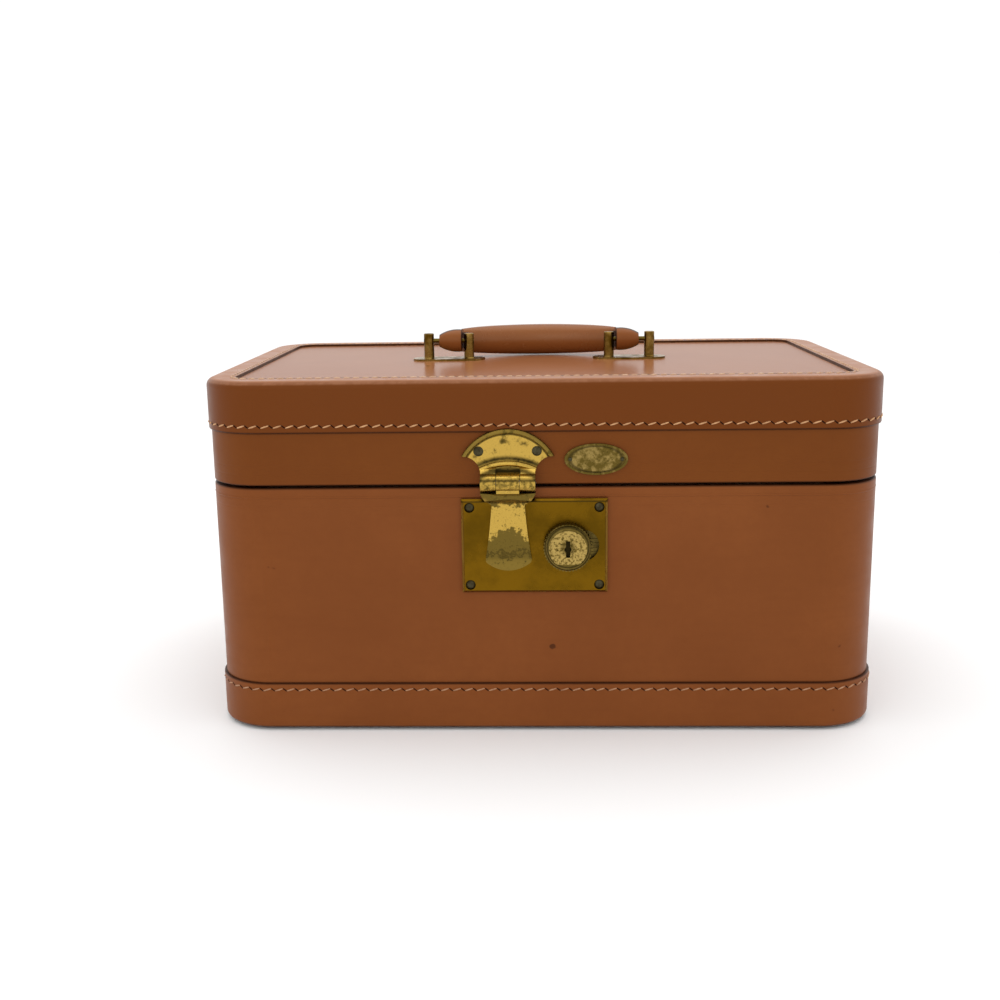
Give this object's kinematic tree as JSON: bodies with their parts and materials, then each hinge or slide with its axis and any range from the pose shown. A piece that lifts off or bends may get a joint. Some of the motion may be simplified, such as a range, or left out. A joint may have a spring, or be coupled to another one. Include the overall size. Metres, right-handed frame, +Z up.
{
  "type": "cosmetic train case",
  "caption": "Leather-covered cosmetic train case with rounded corners, a hinged lid on slotted stays, a hasp lock with a release knob and a fold-down top handle.",
  "frame": {"origin": "middle of the flat underside that the case rests on", "axes": "+X to the right along the long side, +Y from the hasp side to the hinges, +Z up"},
  "size_m": [0.33, 0.2266, 0.1909],
  "materials": {
    "leather": "worn smooth saddle leather, semi-gloss",
    "binding_leather": "thicker worn saddle leather with dark edges",
    "handle_leather": "hand-polished leather",
    "lining_cloth": "moire lining cloth on card",
    "board": "thin plywood",
    "brass": "aged brass, satin",
    "steel": "plain steel",
    "dark_rivet": "oxidised dark iron",
    "mirror": "silvered glass"
  },
  "bodies": {
    "base": {"base_shell": "board", "base_cover": "leather", "base_binding": "binding_leather", "bottom_panel": "binding_leather", "base_lining": "lining_cloth", "lid_guide_strips": "lining_cloth", "lock_plate": "brass", "lock_back_plate": "steel", "lock_plate_rivets": "dark_rivet", "hinge_leaf_base_left": "brass", "hinge_leaf_base_right": "brass", "hinge_pin_left": "steel", "hinge_pin_right": "steel", "hinge_base_rivets": "brass", "stay_stud_left": "brass", "stay_stud_right": "brass"},
    "lid": {"lid_shell": "board", "lid_cover": "leather", "lid_top_panel": "leather", "lid_binding": "binding_leather", "lid_lining": "lining_cloth", "mirror_backing": "lining_cloth", "mirror_glass": "mirror", "mirror_frame": "brass", "hasp_plate": "brass", "hasp_plate_rivets": "dark_rivet", "hasp_pin": "steel", "oval_badge": "brass", "badge_pins": "dark_rivet", "handle_mount_left": "brass", "handle_mount_right": "brass", "handle_posts_left": "brass", "handle_posts_right": "brass", "handle_rod_left": "brass", "handle_rod_right": "brass", "hinge_leaf_lid_left": "brass", "hinge_leaf_lid_right": "brass", "hinge_lid_rivets": "brass", "stay_lid_pin_left": "brass", "stay_lid_pin_right": "brass"},
    "hasp": {"hasp": "brass", "hasp_staple": "brass"},
    "release": {"lock_knob": "brass", "lock_plug": "brass", "lock_bolt": "steel"},
    "handle": {"handle_core": "steel", "handle_grip": "handle_leather", "handle_nose_left": "handle_leather", "handle_nose_right": "handle_leather"},
    "stay_left": {"stay_bar_left": "brass"},
    "stay_right": {"stay_bar_right": "brass"}
  },
  "joints": [
    {"name": "lid_hinge", "type": "hinge", "parent": "base", "child": "lid", "pos_m": [0, 0.10805, 0.124], "axis": [-1, 0, 0], "range_deg": [0, 95]},
    {"name": "hasp_swing", "type": "hinge", "parent": "lid", "child": "hasp", "pos_m": [-0.0165, -0.1095, 0.1263], "axis": [-1, 0, 0], "range_deg": [0, 110]},
    {"name": "knob_slide", "type": "slide", "parent": "base", "child": "release", "axis": [1, 0, 0], "range_m": [-0.0025, 0.0072]},
    {"name": "handle_swing", "type": "hinge", "parent": "lid", "child": "handle", "pos_m": [0, 0, 0.1843], "axis": [1, 0, 0], "range_deg": [0, 187.5]},
    {"name": "stay_left_swing", "type": "hinge", "parent": "lid", "child": "stay_left", "pos_m": [-0.1542, 0.04805, 0.14], "axis": [-1, 0, 0], "range_deg": [-47.5, 0]},
    {"name": "stay_right_swing", "type": "hinge", "parent": "lid", "child": "stay_right", "pos_m": [0.1542, 0.04805, 0.14], "axis": [-1, 0, 0], "range_deg": [-47.5, 0]}
  ],
  "couplings": [
    {"joint": "stay_left_swing", "follows": "lid_hinge", "ratio": -0.5},
    {"joint": "stay_right_swing", "follows": "lid_hinge", "ratio": -0.5}
  ]
}
